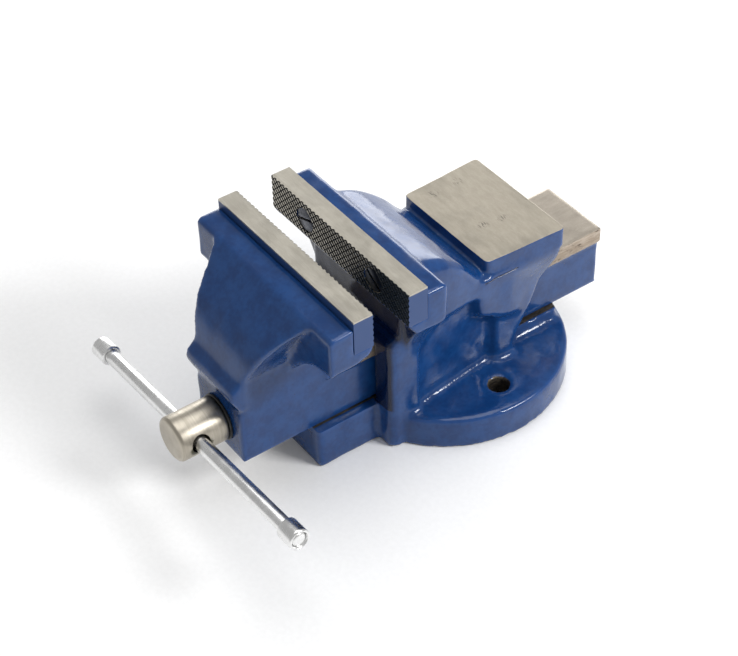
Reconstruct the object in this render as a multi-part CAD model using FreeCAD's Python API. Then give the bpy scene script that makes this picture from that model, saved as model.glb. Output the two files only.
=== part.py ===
import FreeCAD, Part
import math
import os

# Bench vise with a fixed base, an anvil and a hollow slide that runs through the body.
# Millimetres. The origin is the centre of the base flange on its underside.
# -Y points to the handle, +Y to the anvil end, +Z up.

V = FreeCAD.Vector

# ---------------------------------------------------------------- driving dimensions

JAW_W = 125.0                 # jaw width, end to end
JAW_TOP = 131.0               # top of both jaw plates
PLATE_T = 12.0                # jaw plate thickness
PLATE_BOTTOM = 109.4          # underside of both jaw plates
FIXED_GRIP = -70.5            # grip face of the fixed jaw
MOVING_GRIP = -92.5           # grip face of the moving jaw in the stored pose
LEDGE_Z = 126.0               # painted ledge behind each plate

FLANGE_R = 70.6               # round base flange
FLANGE_T = 20.5
PILLAR_W = 80.0               # width of the pillar and of the housing
PILLAR_FRONT = -66.8
FLARE_FRONT = -57.5           # wall over the pillar, set back under the jaw head
TONGUE_W = 56.0               # guide that reaches forward under the slide
TONGUE_FRONT = -106.7
BENCH_HOLE_X = 50.5           # bench bolt holes, one on each side
BENCH_HOLE_D = 12.0

FLOOR_Z = 26.4                # machined floor that the slide runs on
TUNNEL_W = 48.4
TUNNEL_TOP = 68.6

SLIDE_W = 44.0                # painted sides of the slide
SLIDE_RAIL_W = 47.4           # machined rail along its top
SLIDE_RAIL_BOTTOM = 58.0
SLIDE_BOTTOM = 26.8
SLIDE_TOP = 68.1
SLIDE_FRONT = -150.8
SLIDE_REAR = 94.8
CHANNEL_W = 29.0              # hollow underside of the slide
CHANNEL_TOP = 60.5
SLIDE_WALL = 12.0             # front wall that carries the spindle

ANVIL_TOP = 99.2
ANVIL_FRONT = 0.3
ANVIL_REAR = 52.9
VALLEY_Z = 89.0               # floor between the fixed jaw and the anvil

SPINDLE_Z = 44.8
SPINDLE_D = 18.0              # thread crest diameter
SPINDLE_FRONT = -181.6
SPINDLE_END = 80.0
HEAD_D = 26.0
HEAD_BACK = -152.4
BORE_GAP = 0.3                # radial clearance of plain holes

BAR_D = 8.5
BAR_Y = -170.2
BAR_TILT = 4.6                # degrees, +X end up
BAR_NEG = -95.4               # ends of the handle along its own axis
BAR_POS = 106.0
CAP_D = 12.4
CAP_L = 12.5

SCREW_X = 31.0                # jaw plate screws
SCREW_Z = 120.0
SCREW_HEAD_D = 14.0
SCREW_D = 8.0
SCREW_L = 20.0

NUT_FRONT = -62.0
NUT_REAR = -30.0
NUT_W = 26.0
NUT_TOP = 59.0
NUT_BOLT_Y = (-53.0, -38.0)
NUT_BOLT_D = 8.0
CAVITY_Z = 13.0               # roof of the hollow under the pedestal


# ---------------------------------------------------------------- drawing helpers

def box(x0, x1, y0, y1, z0, z1):
    return Part.makeBox(x1 - x0, y1 - y0, z1 - z0, V(x0, y0, z0))


def rod(radius, start, end):
    """Round bar from one point to another."""
    direction = end - start
    return Part.makeCylinder(radius, direction.Length, start, direction)


def place(plane, a, b, offset):
    """3-D point from two coordinates on a named plane."""
    if plane == "yz":
        return V(offset, a, b)
    if plane == "xz":
        return V(a, offset, b)
    return V(a, b, offset)


def outline(plane, offset, points):
    """Closed wire through (a, b) or (a, b, corner radius) points."""
    count = len(points)
    corners = []
    for i in range(count):
        here = V(points[i][0], points[i][1], 0)
        radius = points[i][2] if len(points[i]) > 2 else 0.0
        if radius == 0.0:
            corners.append((here, None, here))
            continue
        before = V(points[i - 1][0], points[i - 1][1], 0) - here
        after = V(points[(i + 1) % count][0], points[(i + 1) % count][1], 0) - here
        before.normalize()
        after.normalize()
        half = before.getAngle(after) / 2.0
        reach = radius / math.tan(half)
        bisector = before + after
        bisector.normalize()
        middle = here + bisector * (radius / math.sin(half) - radius)
        corners.append((here + before * reach, middle, here + after * reach))
    edges = []
    for i in range(count):
        start, middle, end = corners[i]
        if middle is not None:
            arc = [place(plane, p.x, p.y, offset) for p in (start, middle, end)]
            edges.append(Part.Arc(*arc).toShape())
        follow = corners[(i + 1) % count][0]
        if (follow - end).Length > 1e-6:
            line = [place(plane, p.x, p.y, offset) for p in (end, follow)]
            edges.append(Part.makeLine(*line))
    return Part.Wire(edges)


def prism(plane, low, high, points):
    """Outline on a plane, extruded from low to high along the plane's normal."""
    normal = {"yz": V(1, 0, 0), "xz": V(0, 1, 0), "xy": V(0, 0, 1)}[plane]
    return Part.Face(outline(plane, low, points)).extrude(normal * (high - low))


def mirrored(points):
    """Right-hand half of an outline, completed with its left-hand half."""
    left = [(-p[0],) + tuple(p[1:]) for p in reversed(points)]
    return points + left


def turned(radius_along, axis_z):
    """Solid of revolution about a Y axis, from (y, radius) points."""
    points = [V(0, y, axis_z + r) for y, r in radius_along]
    first = V(0, radius_along[0][0], axis_z)
    last = V(0, radius_along[-1][0], axis_z)
    wire = Part.makePolygon([first] + points + [last, first])
    return Part.Face(wire).revolve(V(0, 0, axis_z), V(0, 1, 0), 360)


def ring(outer, inner, y0, y1, edge=0.3):
    """Flat washer about the spindle axis, with broken outer edges."""
    body = turned([(y0, outer - edge), (y0 + edge, outer), (y1 - edge, outer), (y1, outer - edge)], SPINDLE_Z)
    return body.cut(rod(inner, V(0, y0 - 1, SPINDLE_Z), V(0, y1 + 1, SPINDLE_Z)))


def fused(shapes):
    return shapes[0].multiFuse(shapes[1:]).removeSplitter()


def rounded(shape, radius, chosen):
    """Fillet the edges that the test picks by their centre."""
    edges = [e for e in shape.Edges if chosen(e.CenterOfMass, e)]
    return shape.makeFillet(radius, edges)


def save(name, *solids):
    shape = solids[0] if len(solids) == 1 else Part.makeCompound(list(solids))
    shape.exportStep("parts/" + name + ".step")
    print(name, len(shape.Solids), "solid(s)", "valid" if shape.isValid() else "NOT VALID")


# ---------------------------------------------------------------- jaw plates and screws

def jaw_plate(grip, back):
    """Plate between its grip face and its back, with two countersunk holes."""
    low, high = min(grip, back), max(grip, back)
    plate = box(-JAW_W / 2, JAW_W / 2, low, high, PLATE_BOTTOM, JAW_TOP)
    inward = 1.0 if back > grip else -1.0
    for x in (-SCREW_X, SCREW_X):
        mouth = V(x, grip - inward, SCREW_Z)
        hole = rod(SCREW_D / 2 + BORE_GAP, mouth, V(x, back + inward, SCREW_Z))
        plate = plate.cut(hole).cut(countersink(x, grip, inward, BORE_GAP))
    return plate


def countersink(x, grip, inward, gap):
    """Cone of a 90 degree head, whose top lies half a millimetre under the grip face."""
    wide = SCREW_HEAD_D / 2 + gap
    narrow = SCREW_D / 2 + gap
    mouth = V(x, grip - inward * 0.2, SCREW_Z)
    rim = V(x, grip + inward * 1.0, SCREW_Z)
    along = V(0, inward, 0)
    straight = rod(wide, mouth, rim)
    cone = Part.makeCone(wide, narrow, wide - narrow, rim, along)
    return straight.fuse(cone)


def plate_screw(x, grip, inward):
    """Slotted countersunk screw."""
    top = V(x, grip + inward * 0.5, SCREW_Z)
    rim = V(x, grip + inward * 1.0, SCREW_Z)
    tip = V(x, grip + inward * (0.5 + SCREW_L), SCREW_Z)
    along = V(0, inward, 0)
    head_r = SCREW_HEAD_D / 2
    shank_r = SCREW_D / 2
    head = rod(head_r, top, rim).fuse(Part.makeCone(head_r, shank_r, head_r - shank_r, rim, along))
    screw = fused([head, rod(shank_r, rim, tip - along), Part.makeCone(shank_r, shank_r - 0.9, 1.0, tip - along, along)])
    low, high = sorted((top.y - inward, top.y + inward * 1.9))
    slot = box(-head_r - 1, head_r + 1, low, high, -0.8, 0.8)
    slot.rotate(V(0, 0, 0), V(0, 1, 0), 35 if x > 0 else -20)
    slot.translate(V(x, 0, SCREW_Z))
    return screw.cut(slot)


def screw_hole(x, back, inward, depth):
    """Tapped hole behind a jaw plate."""
    start = V(x, back - inward, SCREW_Z)
    return rod(SCREW_D / 2 + BORE_GAP, start, V(x, back + inward * depth, SCREW_Z))


# ---------------------------------------------------------------- fixed body

def base():
    """Flange, the tongue under the slide and the pad behind the housing."""
    disc = Part.makeCylinder(FLANGE_R, FLANGE_T)
    disc = rounded(disc, 3.0, lambda c, e: c.z > FLANGE_T - 0.1 and len(e.Vertexes) == 1)
    front = box(-PILLAR_W / 2, PILLAR_W / 2, PILLAR_FRONT + 6, -30, 0, FLANGE_T)
    tongue = prism("xy", 0, FLOOR_Z, mirrored([
        (TONGUE_W / 2, TONGUE_FRONT, 3), (TONGUE_W / 2, -50)]))
    pad = prism("xz", 15, 65.0, mirrored([
        (26.6, FLOOR_Z, 1.5), (28.0, FLANGE_T + 0.6, 3), (33.0, FLANGE_T - 0.5), (33.0, 12)]))
    rim = Part.makeCylinder(FLANGE_R - 4.0, 60)
    return fused([disc, front, tongue, pad.common(rim)])


def pocket(side, depth, slant, points):
    """Recess in one side wall, rounded where its wall meets the floor and its rim."""
    tool = prism("yz", depth, 60.0, points)
    tool = rounded(tool, 5.0, lambda c, e: c.x < depth + 0.1 and c.y < 74.0)
    tool.rotate(V(depth, -10, 0), V(0, 0, 1), slant)
    if side < 0:
        tool = tool.mirror(V(0, 0, 0), V(1, 0, 0))
    return tool


def housing():
    """Side walls, drawn from the side, trimmed to their plan and recessed."""
    side = prism("yz", -PILLAR_W / 2, PILLAR_W / 2, [
        (-60.0, 0), (-60.0, 104), (-46, 104), (-20, 100), (-6, VALLEY_Z),
        (ANVIL_REAR - 0.8, VALLEY_Z), (ANVIL_REAR - 0.8, 77.0), (45.0, 63.0), (27.5, 37.0, 6), (23.5, 24.0), (23.5, 0)])
    plan = prism("xy", 0, 110, mirrored([
        (40.0, -60.0), (40.0, -10), (38.2, 10), (38.2, 17, 8), (29.6, ANVIL_REAR)]))
    web = prism("xz", 8.5, ANVIL_REAR, mirrored([(38.8, VALLEY_Z), (38.8, 84.0), (29.6, 56.0)]))
    walls = side.common(plan).fuse(side.common(web))
    for sign in (-1, 1):
        front = pocket(sign, 32.0, 7.0, [
            (-51.0, FLANGE_T), (-51.0, 66.0, 16), (-36.0, 75.5, 14), (-16.0, 78.0, 6), (-7.0, 78.0, 4),
            (-5.5, 64.5, 6), (9.0, 54.5), (9.0, FLANGE_T)])
        rear = pocket(sign, 35.0, 0.0, [(3.0, FLANGE_T), (3.0, 57.5), (75.0, 40.0), (75.0, FLANGE_T)])
        boss_clear = Part.makeCylinder(17.0, 9.0, V(sign * BENCH_HOLE_X, 0, FLANGE_T))
        walls = walls.cut(front).cut(rear).cut(boss_clear)
    return walls


def pillar():
    """Front pillar with a sloped top, and the wall over it that flares out to the jaw ends."""
    half = PILLAR_W / 2
    post = prism("yz", -half, half, [
        (PILLAR_FRONT, 0), (PILLAR_FRONT, 74.0, 11), (FLARE_FRONT, 83.3), (-47.0, 83.3), (-47.0, 0)])
    post = rounded(post, 5.0, lambda c, e: abs(c.x) > half - 0.1 and c.y < FLARE_FRONT - 1 and c.z > 1)
    flare = prism("xz", FLARE_FRONT, -47.0, mirrored([
        (half, 60.0), (half, 73.5, 46), (JAW_W / 2 - 0.4, 101.8), (JAW_W / 2 - 0.4, 106.0)]))
    flare = rounded(flare, 3.0, lambda c, e: c.y < FLARE_FRONT + 0.1 and 61.0 < c.z < 105.0)
    return fused([post, flare])


# Slope behind the fixed jaw: (y, half width, height).
SLOPE = (
    (-47.0, 43.2, 125.0),
    (-40.0, 43.2, 122.0),
    (-33.0, 43.0, 118.9),
    (-28.0, 42.6, 116.0),
    (-23.0, 41.9, 112.4),
    (-14.0, 40.2, 104.0),
    (-5.0, 38.4, 94.6),
    (0.0, 37.4, 91.0),
    (4.0, 37.0, 89.0),
)


def fixed_head():
    """Jaw head with its flared underside, and the slope that falls to the anvil."""
    half = JAW_W / 2
    back = FIXED_GRIP + PLATE_T
    head = prism("yz", -half, half, [
        (FIXED_GRIP + 0.2, PLATE_BOTTOM), (FIXED_GRIP + 0.2, 108.6), (-65.3, 101.6), (-46.0, 101.6, 2),
        (-45.0, LEDGE_Z - 0.2, 2.5), (back, LEDGE_Z), (back, PLATE_BOTTOM)])
    sections = []
    for y, half_width, top in SLOPE:
        sections.append(outline("xz", y, mirrored([(half_width, 80.0), (half_width, top, 8)])))
    slope = Part.makeLoft(sections, True, False)
    return fused([head, slope])


def anvil():
    """Flat anvil block with its lower step."""
    slab = prism("xy", 86.6, ANVIL_TOP, [
        (-37.1, ANVIL_FRONT, 2), (37.1, ANVIL_FRONT, 3.5), (39.5, ANVIL_REAR, 2), (-39.5, ANVIL_REAR, 2)])
    slab = rounded(slab, 0.8, lambda c, e: c.z > ANVIL_TOP - 0.1)
    return slab


def fixed_body():
    body = fused([base(), pillar(), housing(), fixed_head(), anvil()])
    cuts = [box(-TUNNEL_W / 2, TUNNEL_W / 2, -120, 120, FLOOR_Z, TUNNEL_TOP)]
    cuts.append(prism("xy", -1, CAVITY_Z, [(-24, -61, 6), (24, -61, 6), (24, 34, 6), (-24, 34, 6)]))
    for x in (-BENCH_HOLE_X, BENCH_HOLE_X):
        cuts.append(rod(BENCH_HOLE_D / 2, V(x, 0, -1), V(x, 0, FLANGE_T + 1)))
    for y in NUT_BOLT_Y:
        cuts.append(rod(NUT_BOLT_D / 2 + BORE_GAP, V(0, y, CAVITY_Z - 1), V(0, y, FLOOR_Z + 1)))
    for x in (-SCREW_X, SCREW_X):
        cuts.append(screw_hole(x, FIXED_GRIP + PLATE_T, 1.0, 10.5))
    for cut in cuts:
        body = body.cut(cut)
    return body


# ---------------------------------------------------------------- moving jaw

# Neck between the slide and the head: (height, half width, front face).
NECK = (
    (70.0, 20.8, -150.0),
    (82.0, 21.2, -150.4),
    (86.0, 23.4, -149.2),
    (91.0, 25.9, -147.6),
    (96.0, 28.1, -145.7),
    (101.0, 30.3, -143.1),
    (106.0, 32.9, -139.5),
    (111.0, 35.9, -134.3),
    (115.0, 38.7, -129.3),
    (119.0, 41.8, -125.0),
    (124.6, 45.5, -118.2),
)


def neck():
    back = MOVING_GRIP - 1.5
    wires = []
    for height, half, front in NECK:
        wires.append(outline("xy", height, mirrored([(half, front), (half, back)])))
    return Part.makeLoft(wires, True, True)


def slide():
    """Hollow slide with its top rail and the arched cheeks at its front end."""
    beam = box(-SLIDE_W / 2, SLIDE_W / 2, SLIDE_FRONT, SLIDE_REAR, SLIDE_BOTTOM, SLIDE_TOP - 1)
    rail = box(-SLIDE_RAIL_W / 2, SLIDE_RAIL_W / 2, -97.0, SLIDE_REAR, SLIDE_RAIL_BOTTOM, SLIDE_TOP)
    rail = rounded(rail, 0.8, lambda c, e: abs(c.x) > 23 and abs(c.y) < 20)
    cheeks = prism("yz", -SLIDE_W / 2, SLIDE_W / 2, [
        (SLIDE_FRONT, 40.0), (SLIDE_FRONT, 80.4, 3), (-137.0, 85.4, 22), (-120.0, 82.3, 22),
        (-108.0, 75.0, 12), (-93.5, 56.0), (-93.5, 40.0)])
    return fused([beam, rail, cheeks])


def lip():
    """Ridge across the front, over the spindle."""
    return prism("yz", -23.2, 23.2, [
        (-146.0, 86.0), (-149.8, 83.4, 5), (-155.0, 79.6, 1.6), (-155.8, 74.2, 1.6), (-150.9, 65.0), (-146.0, 65.0)])


def moving_head():
    half = JAW_W / 2
    back = MOVING_GRIP - PLATE_T
    head = prism("yz", -half, half, [
        (MOVING_GRIP - 0.2, PLATE_BOTTOM), (MOVING_GRIP - 0.2, 106.5), (-97.0, 102.4), (-101.0, 100.2), (-119.0, 100.2),
        (-119.0, 124.9, 3), (back, LEDGE_Z), (back, PLATE_BOTTOM)])
    flare = prism("xz", -119.0, -98.5, mirrored([
        (half - 3.0, 104.0), (half - 3.0, 101.0), (46.0, 96.9, 30), (33.0, 89.0, 20), (21.9, 77.5), (21.9, 66.0)]))
    return fused([head, flare])


def moving_jaw():
    jaw = fused([slide(), neck(), lip(), moving_head()])
    inner = SLIDE_FRONT + SLIDE_WALL
    channel = prism("xz", inner, SLIDE_REAR + 1, mirrored([(CHANNEL_W / 2, CHANNEL_TOP, 4), (CHANNEL_W / 2, SLIDE_BOTTOM - 1)]))
    bore = rod(SPINDLE_D / 2 + BORE_GAP, V(0, SLIDE_FRONT - 1, SPINDLE_Z), V(0, inner + 1, SPINDLE_Z))
    seat = box(-JAW_W / 2 - 1, JAW_W / 2 + 1, MOVING_GRIP - PLATE_T, MOVING_GRIP + 10, PLATE_BOTTOM, JAW_TOP + 10)
    jaw = jaw.cut(channel).cut(bore).cut(seat)
    for x in (-SCREW_X, SCREW_X):
        jaw = jaw.cut(screw_hole(x, MOVING_GRIP - PLATE_T, -1.0, 10.5))
    return jaw


# ---------------------------------------------------------------- spindle and its retaining parts

PIN_Y = -117.3                # split pin through the spindle
WASHER_FACE = SLIDE_FRONT + SLIDE_WALL


def bar_point(distance):
    """Point on the handle's own axis."""
    tilt = math.radians(BAR_TILT)
    return V(distance * math.cos(tilt), BAR_Y, SPINDLE_Z + distance * math.sin(tilt))


def spindle():
    """Screw with its head; the thread is drawn as its crest cylinder."""
    r = SPINDLE_D / 2
    h = HEAD_D / 2
    body = turned([
        (SPINDLE_FRONT, h - 2.2), (SPINDLE_FRONT + 0.6, h - 0.9), (SPINDLE_FRONT + 1.8, h), (HEAD_BACK - 0.8, h),
        (HEAD_BACK, h - 0.8), (HEAD_BACK, r), (SPINDLE_END - 2.5, r), (SPINDLE_END, r - 2.5)], SPINDLE_Z)
    cross = rod(5.6, bar_point(-20), bar_point(20))
    pin_hole = rod(1.9, V(0, PIN_Y, SPINDLE_Z - 15), V(0, PIN_Y, SPINDLE_Z + 15))
    return body.cut(cross).cut(pin_hole)


def spring():
    """Compression spring round the journal, behind the front wall."""
    wire_r = 1.25
    start = WASHER_FACE + 2.0 + wire_r
    end = PIN_Y - 1.6 - 2.0 - wire_r
    helix = Part.makeHelix((end - start) / 3.5, end - start, 11.4)
    circle = Part.Wire([Part.makeCircle(wire_r, V(11.4, 0, 0), V(0, 1, 0))])
    coil = Part.Wire(helix).makePipeShell([circle], True, True)
    coil.rotate(V(0, 0, 0), V(1, 0, 0), -90)
    coil.translate(V(0, start, SPINDLE_Z))
    return coil


def split_pin():
    """Split pin with its eye."""
    leg = rod(1.6, V(0, PIN_Y, SPINDLE_Z - 12.6), V(0, PIN_Y, SPINDLE_Z + 10.2))
    eye = Part.makeTorus(1.7, 0.85, V(0, PIN_Y, SPINDLE_Z + 11.1), V(0, 1, 0))
    return leg.fuse(eye)


# ---------------------------------------------------------------- handle

def handle_bar():
    start = bar_point(BAR_NEG + 0.9)
    end = bar_point(BAR_POS - 0.9)
    return rounded(rod(BAR_D / 2, start, end), 0.6, lambda c, e: len(e.Vertexes) == 1 and abs(c.x) > 60)


def handle_cap(outer, inner):
    """Ring pressed on one end of the bar."""
    cap = rod(CAP_D / 2, bar_point(outer), bar_point(inner))
    cap = rounded(cap, 1.2, lambda c, e: len(e.Vertexes) == 1)
    return cap.cut(rod(BAR_D / 2, bar_point(outer * 1.1), bar_point(inner * 0.9)))


# ---------------------------------------------------------------- spindle nut

def spindle_nut():
    """Block that stands on the floor inside the slide, with the screw through it."""
    half = NUT_W / 2
    block = prism("xz", NUT_FRONT, NUT_REAR, mirrored([
        (half, FLOOR_Z), (half, NUT_TOP, 7)]))
    block = block.cut(rod(SPINDLE_D / 2 + BORE_GAP, V(0, NUT_FRONT - 1, SPINDLE_Z), V(0, NUT_REAR + 1, SPINDLE_Z)))
    for y in NUT_BOLT_Y:
        block = block.cut(rod(NUT_BOLT_D / 2 + BORE_GAP, V(0, y, FLOOR_Z - 1), V(0, y, SPINDLE_Z)))
    return block


def hexagon(across, z0, z1):
    corner = across / math.sqrt(3.0)
    points = []
    for i in range(6):
        angle = math.radians(60 * i)
        points.append((corner * math.cos(angle), corner * math.sin(angle)))
    return prism("xy", z0, z1, points)


def nut_bolt(y):
    """Hexagon bolt up through the floor into the nut."""
    top = CAVITY_Z - 3.6
    head = hexagon(13.0, top - 5.3, top)
    shank = rod(NUT_BOLT_D / 2, V(0, 0, top), V(0, 0, 34.6))
    bolt = fused([head, shank])
    bolt.translate(V(0, y, 0))
    return bolt


def disc_ring(y, outer, inner, z0, z1):
    centre = V(0, y, z0)
    return Part.makeCylinder(outer, z1 - z0, centre).cut(Part.makeCylinder(inner, z1 - z0, centre))


# ---------------------------------------------------------------- parts

save("fixed_body", fixed_body())
save("fixed_jaw_plate", jaw_plate(FIXED_GRIP, FIXED_GRIP + PLATE_T))
save("fixed_plate_screws", *[plate_screw(x, FIXED_GRIP, 1.0) for x in (-SCREW_X, SCREW_X)])
save("spindle_nut", spindle_nut())
save("nut_bolts", *[nut_bolt(y) for y in NUT_BOLT_Y])
save("nut_bolt_washers", *[disc_ring(y, 8.0, 4.3, CAVITY_Z - 1.6, CAVITY_Z) for y in NUT_BOLT_Y])
save("nut_lock_washers", *[disc_ring(y, 7.1, 4.3, CAVITY_Z - 3.6, CAVITY_Z - 1.6) for y in NUT_BOLT_Y])

save("moving_jaw", moving_jaw())
save("moving_jaw_plate", jaw_plate(MOVING_GRIP, MOVING_GRIP - PLATE_T))
save("moving_plate_screws", *[plate_screw(x, MOVING_GRIP, -1.0) for x in (-SCREW_X, SCREW_X)])

save("spindle", spindle())
save("thrust_washer", ring(13.6, SPINDLE_D / 2 + BORE_GAP, HEAD_BACK, SLIDE_FRONT))
save("spring_seat_washer", ring(13.2, SPINDLE_D / 2 + BORE_GAP, WASHER_FACE, WASHER_FACE + 2.0))
save("spindle_spring", spring())
save("pin_washer", ring(13.2, SPINDLE_D / 2 + BORE_GAP, PIN_Y - 3.6, PIN_Y - 1.6))
save("split_pin", split_pin())

save("handle_bar", handle_bar())
save("handle_cap_left", handle_cap(BAR_NEG, BAR_NEG + CAP_L))
save("handle_cap_right", handle_cap(BAR_POS, BAR_POS - CAP_L))
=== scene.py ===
# %% [markdown]
# A small bench vise: two blue enamelled iron castings, a steel screw, a plated bar handle and
# crosshatched jaw plates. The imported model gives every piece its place, in metres, with the
# middle of the round base at the origin, +Y towards the anvil and +Z up. This script keeps that
# frame and builds the visible surface of each piece around it.

# %% Load the frame
import math

import bmesh
import bpy
import numpy as np
from mathutils import Matrix, Vector


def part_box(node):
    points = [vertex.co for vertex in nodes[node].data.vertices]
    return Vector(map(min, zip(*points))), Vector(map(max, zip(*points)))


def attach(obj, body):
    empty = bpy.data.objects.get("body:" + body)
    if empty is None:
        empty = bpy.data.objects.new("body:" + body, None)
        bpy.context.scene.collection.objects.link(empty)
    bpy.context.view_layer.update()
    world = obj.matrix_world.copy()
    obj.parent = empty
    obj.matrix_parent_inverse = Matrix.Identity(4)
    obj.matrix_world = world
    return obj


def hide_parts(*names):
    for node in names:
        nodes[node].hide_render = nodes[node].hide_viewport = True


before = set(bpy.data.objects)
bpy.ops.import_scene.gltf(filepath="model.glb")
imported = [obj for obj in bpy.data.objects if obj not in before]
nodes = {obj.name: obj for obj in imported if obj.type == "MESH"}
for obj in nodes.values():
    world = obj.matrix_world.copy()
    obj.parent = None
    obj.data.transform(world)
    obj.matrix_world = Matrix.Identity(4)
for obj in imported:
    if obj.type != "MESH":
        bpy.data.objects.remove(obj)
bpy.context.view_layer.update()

scene = bpy.context.scene
MM = 0.001

# %% [markdown]
# Node trees get long when every link is written out. These helpers add one node at a time: a
# value that is a socket is linked, and any other value is typed into the socket.


# %% Helpers for node trees
def add(tree, kind, sockets=None, **settings):
    """Add one node. Keys of sockets are input names or numbers."""
    node = tree.nodes.new("ShaderNode" + kind)
    for key, value in settings.items():
        setattr(node, key, value)
    for key, value in (sockets or {}).items():
        if isinstance(value, bpy.types.NodeSocket):
            tree.links.new(value, node.inputs[key])
        else:
            node.inputs[key].default_value = value
    return node


def calc(tree, operation, a, b=0.0, c=0.0, clamp=False):
    values = {0: a, 1: b, 2: c} if operation == "MULTIPLY_ADD" else {0: a, 1: b}
    return add(tree, "Math", values, operation=operation, use_clamp=clamp).outputs[0]


def ease(tree, value, low, high, start=0.0, stop=1.0):
    """Smooth step from start to stop while value goes from low to high."""
    sockets = {"Value": value, "From Min": low, "From Max": high, "To Min": start, "To Max": stop}
    return add(tree, "MapRange", sockets, interpolation_type="SMOOTHSTEP").outputs[0]


def mix(tree, factor, a, b):
    """Colour a where factor is 0 and colour b where it is 1."""
    first, second = (c if isinstance(c, bpy.types.NodeSocket) else (*c, 1.0) for c in (a, b))
    return add(tree, "Mix", {0: factor, 6: first, 7: second}, data_type="RGBA").outputs[2]


def noise(tree, vector, scale, detail=3.0, rough=0.5, output="Fac"):
    sockets = {"Vector": vector, "Scale": scale, "Detail": detail, "Roughness": rough}
    return add(tree, "TexNoise", sockets).outputs[output]


def scaled(tree, vector, factors):
    """The vector with each of its axes multiplied by its own factor."""
    return add(tree, "VectorMath", {0: vector, 1: factors}, operation="MULTIPLY").outputs[0]


def axis_of(tree, vector, number):
    """X, Y or Z of a vector, for number 0, 1 or 2."""
    return add(tree, "SeparateXYZ", {0: vector}).outputs[number]


# %% [markdown]
# Several finishes share the same effects: the skin that a sand mould leaves, paint worn off edges, lines left
# by a cutter, painted shade in hollows and small pits. Each effect is one shader node group with named inputs
# in millimetres, so a material only picks its own values.


# %% Helper that opens a node group
def new_group(name, inputs, outputs):
    tree = bpy.data.node_groups.new(name, "ShaderNodeTree")
    for label, kind, value in inputs:
        socket = tree.interface.new_socket(label, in_out="INPUT", socket_type="NodeSocket" + kind)
        if kind == "Float":
            socket.default_value = value
    for label in outputs:
        tree.interface.new_socket(label, in_out="OUTPUT", socket_type="NodeSocketFloat")
    start = tree.nodes.new("NodeGroupInput").outputs
    stop = tree.nodes.new("NodeGroupOutput").inputs
    return tree, start, stop


def use(tree, group, sockets):
    """Place a group in a material and return its outputs."""
    return add(tree, "Group", sockets, node_tree=group).outputs


def per_metre(tree, size_mm):
    """The noise scale at which one feature is as wide as the given millimetres."""
    return calc(tree, "DIVIDE", 1000.0, size_mm)


# %% Shared effect: cast skin
cast_skin, start, stop = new_group(
    "cast_skin",
    [("Vector", "Vector", None), ("Peel Size", "Float", 2.5), ("Peel Depth", "Float", 0.02),
     ("Wave Size", "Float", 14.0), ("Wave Depth", "Float", 0.2)],
    ["Height", "Mottle"])
peel = noise(cast_skin, start["Vector"], per_metre(cast_skin, start["Peel Size"]), 4.0, 0.55)
wave = noise(cast_skin, start["Vector"], per_metre(cast_skin, start["Wave Size"]), 2.0, 0.5)
peel_height = calc(cast_skin, "MULTIPLY", peel, start["Peel Depth"])
height = calc(cast_skin, "MULTIPLY_ADD", wave, start["Wave Depth"], peel_height)
cast_skin.links.new(height, stop["Height"])
fine_part, broad_part = calc(cast_skin, "MULTIPLY", peel, 0.4), calc(cast_skin, "MULTIPLY", wave, 0.6)
cast_skin.links.new(calc(cast_skin, "ADD", fine_part, broad_part), stop["Mottle"])

# %% Shared effect: worn edges
worn_edges, start, stop = new_group(
    "worn_edges",
    [("Edge", "Float", 0.0), ("Vector", "Vector", None), ("Chip Size", "Float", 2.0),
     ("Wear", "Float", 0.5)],
    ["Mask"])
chips = noise(worn_edges, start["Vector"], per_metre(worn_edges, start["Chip Size"]), 5.0, 0.6)
reach = calc(worn_edges, "MULTIPLY", start["Edge"], start["Wear"])
worn_edges.links.new(ease(worn_edges, calc(worn_edges, "ADD", chips, reach), 0.96, 1.04), stop["Mask"])

# %% Shared effect: lines left by a cutter
cutter_lines, start, stop = new_group(
    "cutter_lines",
    [("Vector", "Vector", None), ("Stretch", "Vector", None)],
    ["Tone", "Height"])
stretched = scaled(cutter_lines, start["Vector"], start["Stretch"])
fine = noise(cutter_lines, stretched, 1.0, 4.0, 0.7)
broad = noise(cutter_lines, stretched, 0.17, 2.0, 0.5)
fine_part, broad_part = calc(cutter_lines, "MULTIPLY", fine, 0.6), calc(cutter_lines, "MULTIPLY", broad, 0.4)
cutter_lines.links.new(calc(cutter_lines, "ADD", fine_part, broad_part), stop["Tone"])
cutter_lines.links.new(fine, stop["Height"])

# %% Shared effect: painted shade in hollows
painted_hollow_shade, start, stop = new_group(
    "painted_hollow_shade",
    [("Hollow", "Float", 0.0), ("Vector", "Vector", None), ("Patch Size", "Float", 6.0),
     ("Amount", "Float", 0.5)],
    ["Mask"])
# Painted shade: a patchy mask that rises in hollows, used to darken them.
patches = noise(painted_hollow_shade, start["Vector"], per_metre(painted_hollow_shade, start["Patch Size"]), 5.0, 0.6)
depth = calc(painted_hollow_shade, "MULTIPLY", start["Hollow"], start["Amount"])
painted_hollow_shade.links.new(ease(painted_hollow_shade, calc(painted_hollow_shade, "ADD", patches, depth), 0.75, 1.15), stop["Mask"])

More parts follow.
